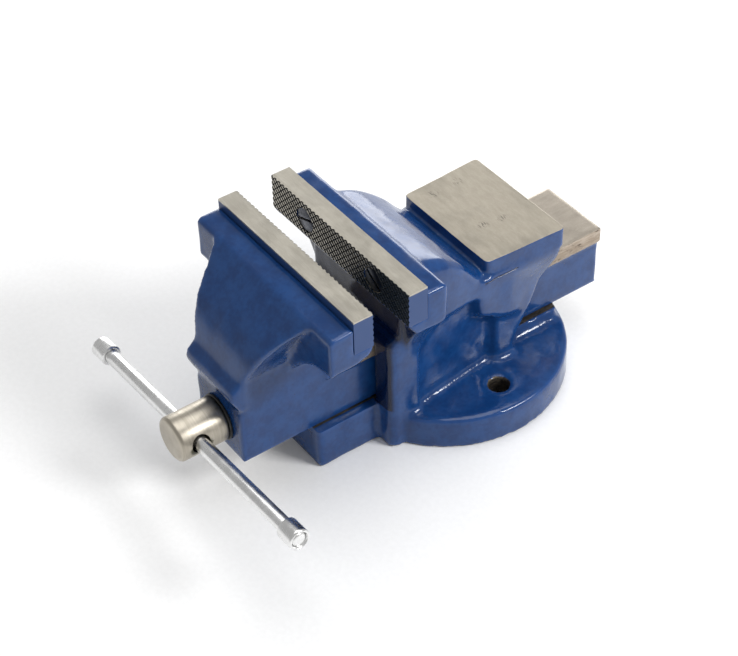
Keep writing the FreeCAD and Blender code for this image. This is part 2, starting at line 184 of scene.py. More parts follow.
# %% Shared effect: small pits
small_pits, start, stop = new_group(
    "small_pits",
    [("Vector", "Vector", None), ("Spacing", "Float", 3.0), ("Share", "Float", 0.3),
     ("Pit Size", "Float", 0.25)],
    ["Mask"])
wander = noise(small_pits, start["Vector"], 900.0, 2.0, 0.5, "Color")
bent = add(small_pits, "VectorMath", {0: wander, 1: (1.1 * MM,) * 3, 2: start["Vector"]},
           operation="MULTIPLY_ADD").outputs[0]
cells = add(small_pits, "TexVoronoi", {"Vector": bent, "Scale": per_metre(small_pits, start["Spacing"])})
cell_value = add(small_pits, "SeparateColor", {0: cells.outputs["Color"]}).outputs[0]
chosen = calc(small_pits, "LESS_THAN", cell_value, start["Share"])
size = calc(small_pits, "MULTIPLY", start["Pit Size"], calc(small_pits, "ADD", cell_value, 0.7))
from_middle = calc(small_pits, "DIVIDE", cells.outputs["Distance"], size)
inside = calc(small_pits, "SUBTRACT", 1.0, from_middle, clamp=True)
small_pits.links.new(calc(small_pits, "MULTIPLY", chosen, ease(small_pits, inside, 0.0, 0.5)), stop["Mask"])
print("shared effects:", [g.name for g in bpy.data.node_groups])

# %% [markdown]
# Every material starts the same way: a Principled shader and the piece's own coordinates, and all but the
# floor add a bump. The coordinates are the object's, in metres, so a texture moves with its piece.


# %% Helper that opens a material
def new_material(name, **values):
    material = bpy.data.materials.new(name)
    material.use_nodes = True
    tree = material.node_tree
    tree.nodes.clear()
    shader = add(tree, "BsdfPrincipled", values)
    out = add(tree, "OutputMaterial")
    tree.links.new(shader.outputs[0], out.inputs[0])
    where = add(tree, "TexCoord").outputs["Object"]
    return material, tree, shader, where


def bump(tree, shader, height, strength=1.0, distance=MM):
    node = add(tree, "Bump", {"Strength": strength, "Distance": distance, "Height": height})
    tree.links.new(node.outputs[0], shader.inputs["Normal"])


def measured(tree, name):
    """A number stored on the mesh, such as how sharp its edge is there."""
    return add(tree, "Attribute", attribute_name=name).outputs["Fac"]


# %% [markdown]
# Blue enamel on cast iron. The real paint is thick and glossy, so it shows long soft highlights that wobble
# with the sand-cast skin below it. It pools and runs in the corners, wears off in small chips on the edges
# and carries specks. Its colour also holds painted light: the edges get a lighter blue as a painted
# highlight, the hollows and the forward faces in the gap between the jaws get painted shade, and a thin
# painted shadow line runs along the step under the anvil. Masks stored on the mesh say where the edges,
# hollows, gap shade and step are, so the paint follows the shape, and bumps carry the skin and runs.

# %% Material: blue enamel
STEP_Z = 86.7 * MM  # height of the step under the anvil
enamel, tree, shader, where = new_material("blue_enamel", IOR=1.47)
skin = use(tree, cast_skin, {"Vector": where, "Peel Size": 2.6, "Peel Depth": 0.06, "Wave Size": 11.0,
                             "Wave Depth": 0.17})
edge, hollow = measured(tree, "edge"), measured(tree, "hollow")
chipped = use(tree, worn_edges, {"Edge": edge, "Vector": where, "Chip Size": 1.7, "Wear": 0.32})["Mask"]
hollow_shade_mask = use(tree, painted_hollow_shade, {"Hollow": hollow, "Vector": where, "Patch Size": 5.0, "Amount": 0.35})["Mask"]
colour = mix(tree, ease(tree, skin["Mottle"], 0.35, 0.65), (0.004, 0.032, 0.128), (0.008, 0.050, 0.180))
# Painted highlight: the convex edges are painted a lighter blue, as if catching the light.
colour = mix(tree, ease(tree, edge, 0.15, 0.8, 0.0, 0.5), colour, (0.018, 0.066, 0.225))
# Painted shade: the hollows are darkened to a near-black blue, in patches.
colour = mix(tree, calc(tree, "MULTIPLY", hollow_shade_mask, 0.55), colour, (0.010, 0.014, 0.030))
specks = use(tree, small_pits, {"Vector": where, "Spacing": 5.5, "Share": 0.16, "Pit Size": 0.09})["Mask"]
colour = mix(tree, calc(tree, "MULTIPLY", specks, 0.7), colour, (0.006, 0.012, 0.04))
# Painted shade: faces that look forward in the gap between the jaws are darkened nearly to black.
gap_shade = measured(tree, "painted_shade")
colour = mix(tree, calc(tree, "MULTIPLY", gap_shade, 0.9), colour, (0.0015, 0.003, 0.018))
# Painted shadow: a thin dark line along the step under the anvil.
from_step = calc(tree, "ABSOLUTE", calc(tree, "SUBTRACT", axis_of(tree, where, 2), STEP_Z))
at_step = ease(tree, from_step, 0.2 * MM, 0.6 * MM, 1.0, 0.0)
step_shadow_line = calc(tree, "MULTIPLY", at_step, measured(tree, "step"))
colour = mix(tree, calc(tree, "MULTIPLY", step_shadow_line, 0.85), colour, (0.002, 0.006, 0.03))
colour = mix(tree, chipped, colour, (0.42, 0.40, 0.36))
tree.links.new(colour, shader.inputs["Base Color"])
tree.links.new(chipped, shader.inputs["Metallic"])
gloss = ease(tree, noise(tree, where, 55.0, 4.0, 0.6), 0.35, 0.7, 0.11, 0.27)
gloss = calc(tree, "MULTIPLY_ADD", hollow, -0.06, gloss)
gloss = calc(tree, "MULTIPLY_ADD", hollow_shade_mask, 0.22, gloss)
tree.links.new(gloss, shader.inputs["Roughness"])
lowered = calc(tree, "MULTIPLY_ADD", calc(tree, "ADD", chipped, specks), -0.05, skin["Height"])
lowered = calc(tree, "MULTIPLY_ADD", step_shadow_line, -0.35, lowered)
runs = noise(tree, where, 330.0, 2.0, 0.5)
lowered = calc(tree, "MULTIPLY_ADD", calc(tree, "MULTIPLY", hollow, runs), 0.65, lowered)
bump(tree, shader, lowered, 0.9)
print("made", enamel.name)

# %% [markdown]
# Bare milled iron: the anvil top and the top of the slide. A face mill leaves fine lines in one
# direction, over a warm grey metal with clouds of stain and scattered pits. The anvil also has
# sets of hammer marks. They are dark strokes gathered round a few points, because the real
# marks are too shallow to need a shape.


# %% Material: milled iron
ANVIL_Z = 99.2 * MM


def hammer_strokes(tree, where, marks):
    """Mask of short strokes near each (x, y) in mm on the anvil top."""
    near = 0.0
    for x, y in marks:
        away = add(tree, "VectorMath", {0: where, 1: (x * MM, y * MM, ANVIL_Z)}, operation="DISTANCE")
        reach = ease(tree, away.outputs["Value"], 1.0 * MM, 4.5 * MM, 1.0, 0.0)
        near = calc(tree, "MAXIMUM", near, reach)
    strokes = noise(tree, scaled(tree, where, (330.0, 1500.0, 330.0)), 1.0, 2.0, 0.5)
    return calc(tree, "MULTIPLY", ease(tree, strokes, 0.52, 0.62), near)


def milled(name, light, dark, stretch, pit_share, stain, marks=()):
    material, tree, shader, where = new_material(name, Metallic=1.0)
    lines = use(tree, cutter_lines, {"Vector": where, "Stretch": stretch})
    cloud = noise(tree, where, 45.0, 4.0, 0.6)
    colour = mix(tree, ease(tree, lines["Tone"], 0.35, 0.68), dark, light)
    colour = mix(tree, ease(tree, cloud, 0.50, 0.80, 0.0, stain), colour, [c * 0.62 for c in dark])
    pits = use(tree, small_pits, {"Vector": where, "Spacing": 4.2, "Share": pit_share,
                                  "Pit Size": 0.10})["Mask"]
    colour = mix(tree, calc(tree, "MULTIPLY", pits, 0.6), colour, (0.08, 0.07, 0.06))
    if marks:
        dents = calc(tree, "MULTIPLY", hammer_strokes(tree, where, marks), 0.7)
        colour = mix(tree, dents, colour, (0.10, 0.09, 0.08))
    tree.links.new(colour, shader.inputs["Base Color"])
    dull = calc(tree, "ADD", cloud, calc(tree, "MULTIPLY", lines["Tone"], 0.5))
    tree.links.new(ease(tree, dull, 0.5, 1.0, 0.36, 0.52), shader.inputs["Roughness"])
    ridges = calc(tree, "MULTIPLY", lines["Height"], 0.016)
    bump(tree, shader, calc(tree, "MULTIPLY_ADD", pits, -0.12, ridges), 0.8)
    print("made", name)
    return material


hammer_marks = ((-28.1, 13.6), (-29.4, 31.4), (10.4, 18.8), (12.0, 31.0))
milled_anvil = milled("milled_anvil_top", (0.455, 0.415, 0.345), (0.385, 0.348, 0.285),
                      (600.0, 2400.0, 600.0), 0.08, 0.18, hammer_marks)
milled_slide = milled("milled_slide_top", (0.44, 0.395, 0.335), (0.36, 0.32, 0.27),
                      (2400.0, 500.0, 500.0), 0.14, 0.3)

# %% [markdown]
# The sides of the rail and the inside of the tunnel were only rough cut, so the dark casting
# skin is left in pits, with brown oil and rust around them. The rail is wiped by every stroke
# and stays pale. The tunnel, the tongue's floor and the underside are black with oil. One
# recipe makes both, because only the colours and the share of dark skin differ.

# %% Materials: rough iron
def rough_cut(name, light, middle, pit, share):
    material, tree, shader, where = new_material(name)
    lines = use(tree, cutter_lines, {"Vector": where, "Stretch": (300.0, 90.0, 900.0)})
    skin = use(tree, cast_skin, {"Vector": where, "Peel Size": 1.4, "Peel Depth": 0.09, "Wave Size": 7.0,
                                 "Wave Depth": 0.15})
    drawn = scaled(tree, where, (1.0, 0.35, 1.0))
    left_dark = ease(tree, noise(tree, drawn, 420.0, 6.0, 0.7), 1.0 - share, 1.08 - share)
    colour = mix(tree, ease(tree, lines["Tone"], 0.35, 0.65), middle, light)
    colour = mix(tree, left_dark, colour, pit)
    tree.links.new(colour, shader.inputs["Base Color"])
    tree.links.new(ease(tree, left_dark, 0.0, 1.0, 0.85, 0.25), shader.inputs["Metallic"])
    tree.links.new(ease(tree, skin["Mottle"], 0.3, 0.7, 0.42, 0.68), shader.inputs["Roughness"])
    bump(tree, shader, calc(tree, "MULTIPLY_ADD", left_dark, -0.12, skin["Height"]), 0.9)
    print("made", name)
    return material


rail_iron = rough_cut("rough_rail_iron", (0.50, 0.43, 0.36), (0.33, 0.265, 0.20),
                      (0.10, 0.070, 0.048), 0.44)
rough_iron = rough_cut("oily_tunnel_iron", (0.13, 0.11, 0.085), (0.055, 0.045, 0.035),
                       (0.014, 0.011, 0.010), 0.52)

# %% [markdown]
# The jaw plates are ground steel. The ground top is pale with hair lines along the jaw. The
# ends and the back took the blue paint with the castings, up to a thin bare edge at the top.
# The grip face has light crests over grooves that hold black oil, and painted shade darkens it towards +X and
# downwards. How deep a point is and how much painted shade it gets are stored on the mesh, so one material
# does all.

# %% Material: jaw plate steel
plate_steel, tree, shader, where = new_material("jaw_plate_steel")
lines = use(tree, cutter_lines, {"Vector": where, "Stretch": (260.0, 2400.0, 2400.0)})
cloud = noise(tree, where, 70.0, 4.0, 0.6)
deep = calc(tree, "ADD", measured(tree, "groove"), calc(tree, "MULTIPLY", cloud, 0.25))
groove = ease(tree, deep, 0.14, 0.40)
facing = add(tree, "SeparateXYZ", {0: add(tree, "TexCoord").outputs["Normal"]})
on_end = calc(tree, "GREATER_THAN", calc(tree, "ABSOLUTE", facing.outputs[0]), 0.9)
backward = calc(tree, "MULTIPLY", facing.outputs[1], measured(tree, "back_side"))
on_back = calc(tree, "GREATER_THAN", backward, 0.9)
ragged_height = calc(tree, "ADD", axis_of(tree, where, 2), calc(tree, "MULTIPLY", cloud, 0.8 * MM))
below_edge = ease(tree, ragged_height, 130.25 * MM, 130.75 * MM, 1.0, 0.0)
overspray = calc(tree, "MULTIPLY", calc(tree, "MAXIMUM", on_end, on_back), below_edge)
gap_shade = measured(tree, "painted_shade")
colour = mix(tree, ease(tree, lines["Tone"], 0.35, 0.7), (0.46, 0.43, 0.365), (0.545, 0.515, 0.45))
colour = mix(tree, ease(tree, cloud, 0.55, 0.8, 0.0, 0.18), colour, (0.36, 0.33, 0.28))
colour = mix(tree, groove, colour, (0.010, 0.011, 0.014))
# Painted shade: the grip face is darkened towards +X, where it lies deep in the gap.
colour = mix(tree, calc(tree, "MULTIPLY", gap_shade, 0.93), colour, (0.004, 0.012, 0.022))
colour = mix(tree, overspray, colour, (0.014, 0.048, 0.160))
tree.links.new(colour, shader.inputs["Base Color"])
groove_oil_and_shade = calc(tree, "MAXIMUM", calc(tree, "MULTIPLY", groove, 0.7), calc(tree, "MULTIPLY", gap_shade, 0.5))
bare = calc(tree, "SUBTRACT", 1.0, calc(tree, "MAXIMUM", groove_oil_and_shade, overspray))
tree.links.new(bare, shader.inputs["Metallic"])
dull = calc(tree, "ADD", cloud, calc(tree, "MULTIPLY", lines["Tone"], 0.4))
tree.links.new(ease(tree, dull, 0.5, 0.95, 0.34, 0.44), shader.inputs["Roughness"])
bump(tree, shader, lines["Height"], 0.5, 0.008 * MM)
print("made", plate_steel.name)

# %% [markdown]
# Turned steel: the screw and its head. A lathe tool leaves rings round the axis. The head is
# pale, and an oily black stain has crept over it near the slide, round its rear rim and inside
# the cross hole. The stain is stored on the mesh, so it stays where the grease collects.

# %% Material: turned steel
turned_steel, tree, shader, where = new_material("turned_steel", Metallic=1.0)
rings = use(tree, cutter_lines, {"Vector": where, "Stretch": (60.0, 3200.0, 60.0)})
cloud = noise(tree, where, 160.0, 4.0, 0.6)
colour = mix(tree, ease(tree, rings["Tone"], 0.32, 0.7), (0.36, 0.325, 0.265), (0.50, 0.46, 0.39))
grease = calc(tree, "ADD", measured(tree, "stain"), calc(tree, "MULTIPLY", cloud, 0.5))
stained = ease(tree, grease, 0.42, 0.80)
colour = mix(tree, stained, colour, (0.075, 0.072, 0.048))
tree.links.new(colour, shader.inputs["Base Color"])
tree.links.new(ease(tree, cloud, 0.3, 0.75, 0.32, 0.44), shader.inputs["Roughness"])
bump(tree, shader, rings["Height"], 0.7, 0.012 * MM)
print("made", turned_steel.name)

# %% [markdown]
# Bright zinc plating on the bar and its caps. It is nearly mirror-like, a little cloudy, with
# short scratches along the bar and small pits in the plating.

# %% Material: zinc plating
zinc, tree, shader, where = new_material("bright_zinc", Metallic=1.0)
cloud = noise(tree, where, 130.0, 5.0, 0.62)
scratches = use(tree, cutter_lines, {"Vector": where, "Stretch": (1400.0, 60.0, 1400.0)})
pits = use(tree, small_pits, {"Vector": where, "Spacing": 3.4, "Share": 0.20, "Pit Size": 0.06})["Mask"]
colour = mix(tree, ease(tree, cloud, 0.35, 0.7), (0.78, 0.78, 0.775), (0.86, 0.86, 0.855))
colour = mix(tree, calc(tree, "MULTIPLY", pits, 0.75), colour, (0.14, 0.13, 0.12))
tree.links.new(colour, shader.inputs["Base Color"])
dull = calc(tree, "ADD", cloud, calc(tree, "MULTIPLY", scratches["Tone"], 0.5))
tree.links.new(ease(tree, dull, 0.45, 1.0, 0.20, 0.32), shader.inputs["Roughness"])
ridges = calc(tree, "MULTIPLY", scratches["Height"], 0.002)
bump(tree, shader, calc(tree, "MULTIPLY_ADD", pits, -0.03, ridges), 0.4)
print("made", zinc.name)

# %% [markdown]
# Small hardware: the plate screws, blackened bolts, washers and spring, and the plain steel and iron parts
# inside. They share one recipe with different colours, because all are machined metal under a film of oil.
# The plate screws on the +X side are darkened with painted shade.


# %% Materials: hardware
def hardware(name, light, dark, metal, rough, stretch=(500.0, 500.0, 500.0), shade_on_plus_x=False):
    material, tree, shader, where = new_material(name, Metallic=metal)
    lines = use(tree, cutter_lines, {"Vector": where, "Stretch": stretch})
    cloud = noise(tree, where, 220.0, 5.0, 0.6)
    colour = mix(tree, ease(tree, lines["Tone"], 0.35, 0.68), dark, light)
    colour = mix(tree, ease(tree, cloud, 0.55, 0.75, 0.0, 0.6), colour, [c * 0.45 for c in dark])
    if shade_on_plus_x:
        # Painted shade: the screw on the +X side is darkened nearly to black.
        plus_x_shade = ease(tree, axis_of(tree, where, 0), 5 * MM, 15 * MM, 0.0, 0.93)
        colour = mix(tree, plus_x_shade, colour, (0.004, 0.010, 0.020))
    tree.links.new(colour, shader.inputs["Base Color"])
    tree.links.new(ease(tree, cloud, 0.3, 0.7, *rough), shader.inputs["Roughness"])
    ridges, grain = calc(tree, "MULTIPLY", lines["Height"], 0.02), calc(tree, "MULTIPLY", cloud, 0.03)
    bump(tree, shader, calc(tree, "ADD", ridges, grain), 0.7)
    print("made", name)
    return material


screw_face = hardware("oiled_screw_steel", (0.20, 0.21, 0.24), (0.07, 0.075, 0.09), 0.9, (0.28, 0.5),
                      (1500.0, 300.0, 1500.0), True)
black_oxide = hardware("black_oxide", (0.060, 0.058, 0.056), (0.025, 0.024, 0.024), 0.6, (0.28, 0.5))
plain_washer = hardware("plain_washer_steel", (0.55, 0.53, 0.49), (0.38, 0.36, 0.33), 1.0, (0.26, 0.45))
nut_iron = hardware("grey_nut_iron", (0.26, 0.25, 0.235), (0.13, 0.12, 0.11), 0.8, (0.4, 0.62))

# %% [markdown]
# Meshes come next. These helpers make an object from points, copy a CAD mesh with its seams closed, and hand
# a finished piece over: the body it rides on and the CAD piece it replaces.


# %% Helpers for meshes
def new_piece(name, mesh, *materials):
    piece = bpy.data.objects.new(name, mesh)
    scene.collection.objects.link(piece)
    for material in materials:
        mesh.materials.append(material)
    return piece


def hand_over(piece, node, body):
    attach(piece, body)
    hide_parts(node)
    print(f"{piece.name}: {len(piece.data.polygons)} faces, rides on {body}, stands for {node}")


def from_bmesh(name, bm):
    mesh = bpy.data.meshes.new(name)
    bm.to_mesh(mesh)
    bm.free()
    return mesh


def closed_copy(node):
    """The CAD mesh as a bmesh, with the vertices along its seams joined."""
    bm = bmesh.new()
    bm.from_mesh(nodes[node].data)
    bmesh.ops.remove_doubles(bm, verts=bm.verts, dist=2e-6)
    return bm


def slice_off(bm, place, normal, slack, geometry=None):
    """Cut at a plane and drop what lies on the side its normal points to."""
    geometry = geometry or list(bm.verts) + list(bm.edges) + list(bm.faces)
    return bmesh.ops.bisect_plane(bm, geom=geometry, dist=slack, plane_co=place, plane_no=normal,
                                  clear_outer=True)["geom_cut"]


def bevel_edges(bm, edges, width):
    bmesh.ops.bevel(bm, geom=edges, offset=width, segments=2, profile=0.5, affect="EDGES",
                    clamp_overlap=True)


def smooth_by_angle(bm, degrees):
    """Smooth faces, with sharp edges where the surface turns by more than that."""
    for face in bm.faces:
        face.smooth = True
    for edge in bm.edges:
        if len(edge.link_faces) == 2:
            edge.smooth = edge.calc_face_angle(0.0) < math.radians(degrees)


def column(mesh, kind, name, size=1):
    """One property of every vertex or face as an array."""
    rows = getattr(mesh, kind)
    values = np.zeros(len(rows) * size)
    rows.foreach_get(name, values)
    return values.reshape(-1, size) if size > 1 else values


def store(mesh, name, values):
    mesh.attributes.new(name, "FLOAT", "POINT").data.foreach_set("value", values.astype(np.float32))


# %% [markdown]
# A sand casting has no sharp corners: every inside corner has a fillet and every edge is
# rounded by the mould. The CAD solid has most of its corners sharp, so the casting is turned
# into small voxels and relaxed, which melts corners the way a mould does. Each zone has its own
# softness, from 0 on machined faces to 1 in the deep fillets, so cut faces stay true.


# %% Helpers for castings
VOXEL = 1.05 * MM         # size of the small cubes
MELTING_ROUNDS = 22
LIFT = 3.0 * MM           # how far the anvil top is raised before it is sliced flat
BIG_FACE = 100 * MM * MM  # larger faces are flat cuts and are shaded flat


def voxel_mesh(bm, name):
    source = bpy.data.objects.new(name, from_bmesh(name, bm))
    scene.collection.objects.link(source)
    grid = source.modifiers.new("voxels", "REMESH")
    grid.mode, grid.voxel_size = "VOXEL", VOXEL
    shape = source.evaluated_get(bpy.context.evaluated_depsgraph_get())
    mesh = bpy.data.meshes.new_from_object(shape)
    bpy.data.objects.remove(source)
    return mesh


def neighbour_mean(points, pairs):
    """Average place of each vertex's neighbours."""
    count = len(points)
    both = np.concatenate([pairs, pairs[:, ::-1]])
    degree = np.maximum(np.bincount(both[:, 0], minlength=count), 1)
    sums = [np.bincount(both[:, 0], points[both[:, 1], axis], count) for axis in range(3)]
    return np.stack(sums, axis=1) / degree[:, None]


def zone_values(points, zones, default):
    """A value per point, from (low corner, high corner, value) boxes in mm. Later boxes win."""
    values = np.full(len(points), default)
    for low, high, value in zones:
        hit = np.all((points >= np.array(low) * MM) & (points <= np.array(high) * MM), axis=1)
        values[hit] = value
    return values


def waviness(points, seed, longest, shortest, count=40):
    """Smooth hills and dips between -1 and 1, as a sum of waves in many directions."""
    rng = np.random.default_rng(seed)
    total = np.zeros(len(points))
    for _ in range(count):
        direction = rng.normal(size=3)
        direction /= np.linalg.norm(direction)
        length = rng.uniform(shortest, longest)
        total += np.sin(points @ direction * (2 * math.pi / length) + rng.uniform(0, 2 * math.pi))
    return total / math.sqrt(count)


def cast(name, bm, zones, default, node, seed):
    """Casting with melted corners and a wavy skin, kept inside the box of its CAD node."""
    mesh = voxel_mesh(bm, name)
    points = column(mesh, "vertices", "co", 3)
    pairs = column(mesh, "edges", "vertices", 2).astype(int)
    softness = zone_values(points, zones, default)[:, None]
    for _ in range(MELTING_ROUNDS):
        points += softness * 0.9 * (neighbour_mean(points, pairs) - points)
    mesh.vertices.foreach_set("co", points.ravel())
    mesh.update()
    normals = column(mesh, "vertices", "normal", 3)
    bumps = waviness(points, seed, 0.030, 0.009) * 0.11 * MM
    points += normals * (bumps * (softness[:, 0] > 0))[:, None]
    low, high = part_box(node)
    points = np.clip(points, np.array(low), np.array(high) + (0, 0, LIFT))
    mesh.vertices.foreach_set("co", points.ravel())
    mesh.update()
    print(name, "has", len(points), "vertices after", MELTING_ROUNDS, "rounds of melting")
    return mesh


def store_shape(mesh, gap_shade_zones=(), step_shadow_zones=()):
    """Store how convex (edge) and hollow each vertex is, and where the painted gap shade and the painted step
    shadow line lie.
    """
    points = column(mesh, "vertices", "co", 3)
    pairs = column(mesh, "edges", "vertices", 2).astype(int)
    normals = column(mesh, "vertices", "normal", 3)
    near, far = points, points
    for step in range(14):
        far = neighbour_mean(far, pairs)
        if step == 3:
            near = far
    store(mesh, "edge", np.clip(np.sum((points - near) * normals, axis=1) / (0.40 * MM), 0, 1))
    store(mesh, "hollow", np.clip(-np.sum((points - far) * normals, axis=1) / (0.9 * MM), 0, 1))
    # Painted shade for the gap between the jaws, on faces that look forward.
    in_gap = zone_values(points, gap_shade_zones, 0.0)
    store(mesh, "painted_shade", in_gap * np.clip((-normals[:, 1] - 0.45) / 0.3, 0, 1))
    # Where the painted shadow line under the anvil goes, on faces that look sideways.
    sideways = np.clip((np.abs(normals[:, 0]) - 0.5) / 0.3, 0, 1)
    store(mesh, "step", zone_values(points, step_shadow_zones, 0.0) * sideways)


def paint_faces(mesh, zones):
    """Give faces in a box the material with that number, if they face along the given axis."""
    middle = column(mesh, "polygons", "center", 3) / MM
    facing = column(mesh, "polygons", "normal", 3)
    chosen = np.zeros(len(middle), int)
    for low, high, axis, number in zones:
        hit = np.all((middle >= np.array(low)) & (middle <= np.array(high)), axis=1)
        if axis is not None:
            hit &= facing @ np.array(axis, float) > 0.6
        chosen[hit] = number
    mesh.polygons.foreach_set("material_index", chosen)
    bm = bmesh.new()
    bm.from_mesh(mesh)
    smooth_by_angle(bm, 38)
    for face in bm.faces:
        face.smooth = face.calc_area() < BIG_FACE
    bm.to_mesh(mesh)
    bm.free()


# %% [markdown]
# The fixed casting: base flange, pedestal, tunnel, jaw head and anvil in one piece. Its anvil
# top was milled after casting, so that edge must be crisp. The top is lifted before melting and
# sliced off flat afterwards, which leaves soft sides under a sharp, slightly bevelled rim.

# %% Fixed body
bm = closed_copy("fixed_body")
for vertex in bm.verts:
    if vertex.co.z > ANVIL_Z - 0.85 * MM and vertex.co.y > 0.2 * MM:
        vertex.co.z += LIFT
soft_zones = [
    ((-72, -72, -1), (72, 72, 20), 0.16),          # flange rim
    ((-45, -60, 21), (45, 54, 64), 0.5),           # recessed walls and their fillets
    ((-50, -58, 19.5), (50, 54, 34), 0.95),        # foot of the pedestal
    ((-45, -6, 62), (45, 56, 86), 0.35),           # under the anvil
    ((-42, -70, 21), (42, -45, 100), 0.3),         # pillar
    ((-64, -72, 99), (64, -44, 127), 0.14),        # jaw head
    ((-46, -43.5, 86), (46, 1, 127), 0.45),        # slope behind the jaw
    ((-42, 0, 86), (42, 55, 103), 0.06),           # anvil block
    ((-29, -110, -1), (29, -66, 27), 0.16),        # tongue
    ((-27.8, -108, 26.2), (27.8, 70, 26.8), 0.0),  # machined floor
    ((-24.6, -72, 26), (24.6, 60, 69), 0.0),       # tunnel
    ((-64, -62, 108.5), (64, -57.5, 132), 0.03),   # seat of the jaw plate
]
body_mesh = cast("fixed_casting", bm, soft_zones, 0.5, "fixed_body", 11)
bm = bmesh.new()
bm.from_mesh(body_mesh)
middles = [(f, f.calc_center_median()) for f in bm.faces]
above = [f for f, middle in middles if middle.z > 95 * MM and middle.y > -1 * MM]
touched = list({e for f in above for e in f.edges}) + list({v for f in above for v in f.verts})
cut = slice_off(bm, (0, 0, ANVIL_Z), (0, 0, 1), 1e-7, above + touched)
rim = [e for e in cut if isinstance(e, bmesh.types.BMEdge)]
top = bmesh.ops.contextual_create(bm, geom=rim)["faces"]
bevel_edges(bm, list(top[0].edges), 0.35 * MM)
bm.to_mesh(body_mesh)
bm.free()
# Box of the gap between the jaws, which gets painted shade.
gap_zones = [((-64, -72, 27), (64, -56.5, 108), 1.0)]
# Boxes where the painted shadow line under the anvil runs.
step_shadow_zones = [((30, -2, 84), (45, 21, 89), 1.0), ((-45, -2, 84), (-30, 21, 89), 1.0)]
store_shape(body_mesh, gap_zones, step_shadow_zones)
fixed_casting = new_piece("fixed_casting", body_mesh, enamel, milled_anvil, rough_iron)
paint_faces(body_mesh, [
    ((-45, -1, 98.7), (45, 56, 99.4), (0, 0, 1), 1),         # anvil top
    ((-22.2, -108, 26.0), (22.2, -66, 26.8), (0, 0, 1), 2),  # floor of the tongue
    ((-24.7, -67, 26.0), (24.7, 72, 69.2), None, 2),         # tunnel
    ((-80, -110, -1), (80, 80, 0.3), (0, 0, -1), 2),         # underside
    # Bench holes: bare oily iron inside, whose near-black colour is also painted shade for the deep holes.
    ((44.2, -6.4, -1), (56.8, 6.4, 19.4), None, 2),          # right bench hole
    ((-56.8, -6.4, -1), (-44.2, 6.4, 19.4), None, 2),        # left bench hole
])
hand_over(fixed_casting, "fixed_body", "base")

# %% [markdown]
# The moving casting: the hollow slide, the neck that fans out to the jaw, and the lip over the
# screw. The neck and the arched cheeks are the softest shapes of the whole vise. The rail on
# top of the slide and its underside are machined.

# %% Moving jaw
bm = closed_copy("moving_jaw")
soft_zones = [
    ((-24, -152, 26), (24, 96, 60), 0.14),         # slide
    ((-34, -157, 60), (34, -93, 101), 0.5),        # lip, cheeks and lower neck
    ((-50, -152, 99), (50, -118.5, 126), 0.5),     # upper neck
    ((-64, -121, 99), (64, -92, 127), 0.14),       # jaw head
    ((-64, -118, 96), (64, -97, 104.5), 0.5),      # under the jaw head
    ((-64, -105, 108.5), (64, -90, 132), 0.03),    # seat of the jaw plate
    ((-24, -96.5, 57.5), (24, 96, 69), 0.0),       # machined rail
    ((-24, -152, 26), (24, 96, 27.2), 0.0),        # machined underside
]
jaw_mesh = cast("moving_casting", bm, soft_zones, 0.4, "moving_jaw", 12)
store_shape(jaw_mesh)
moving_casting = new_piece("moving_casting", jaw_mesh, enamel, milled_slide, rough_iron, rail_iron)
paint_faces(jaw_mesh, [
    ((-24, -92.2, 57.6), (24, 94.4, 68.3), None, 3),       # sides of the rail
    ((-24, -92.2, 67.6), (24, 95.5, 68.3), (0, 0, 1), 1),  # top of the rail
    ((-24, -150, 26), (24, 94, 27.1), (0, 0, -1), 1),      # underside of the slide
    ((-14.9, -139, 26), (14.9, 94.6, 60.9), None, 2),      # inside of the slide
])
hand_over(moving_casting, "moving_jaw", "slide")

# %% [markdown]
# A jaw plate is a flat bar with a crosshatched grip: two sets of grooves at 45 degrees, one wide and one
# narrow, leave small flat lozenges. The pattern is real geometry here, because its grooves are half a
# millimetre deep and are seen at a slant between the jaws. It is laid out on a grid turned by 45 degrees,
# trimmed to the plate and pulled back into a solid. Two countersunk holes are then cut through it, and its
# mesh stores the groove depth and the painted shade on the grip.

# %% Jaw plates
PITCH, WIDE_HALF, NARROW_HALF, GROOVE_DEPTH = 2.6 * MM, 0.84 * MM, 0.34 * MM, 0.5 * MM
GROOVES_EACH_WAY = 22
SCREW_X, SCREW_Z = 31 * MM, 120 * MM


def lathe(profile, steps=64):
    """Round bmesh about Y from (distance along the axis, radius) points."""
    bm = bmesh.new()
    rings = []
    for along, radius in profile:
        ring = []
        for i in range(steps):
            angle = 2 * math.pi * i / steps
            ring.append(bm.verts.new((radius * math.cos(angle), along, radius * math.sin(angle))))
        rings.append(ring)
    for low, high in zip(rings, rings[1:]):
        for i in range(steps):
            bm.faces.new((low[i], low[i - 1], high[i - 1], high[i]))
    bm.faces.new(rings[0])
    bm.faces.new(list(reversed(rings[-1])))
    bmesh.ops.recalc_face_normals(bm, faces=bm.faces)
    return bm


def carve(piece, tool_mesh):
    """Cut one mesh out of another and keep the result as the piece's mesh."""
    tool = bpy.data.objects.new("cutter", tool_mesh)
    scene.collection.objects.link(tool)
    knife = piece.modifiers.new("cut", "BOOLEAN")
    knife.operation, knife.solver, knife.object = "DIFFERENCE", "EXACT", tool
    shape = piece.evaluated_get(bpy.context.evaluated_depsgraph_get())
    result = bpy.data.meshes.new_from_object(shape)
    piece.modifiers.clear()
    piece.data = result
    bpy.data.objects.remove(tool)


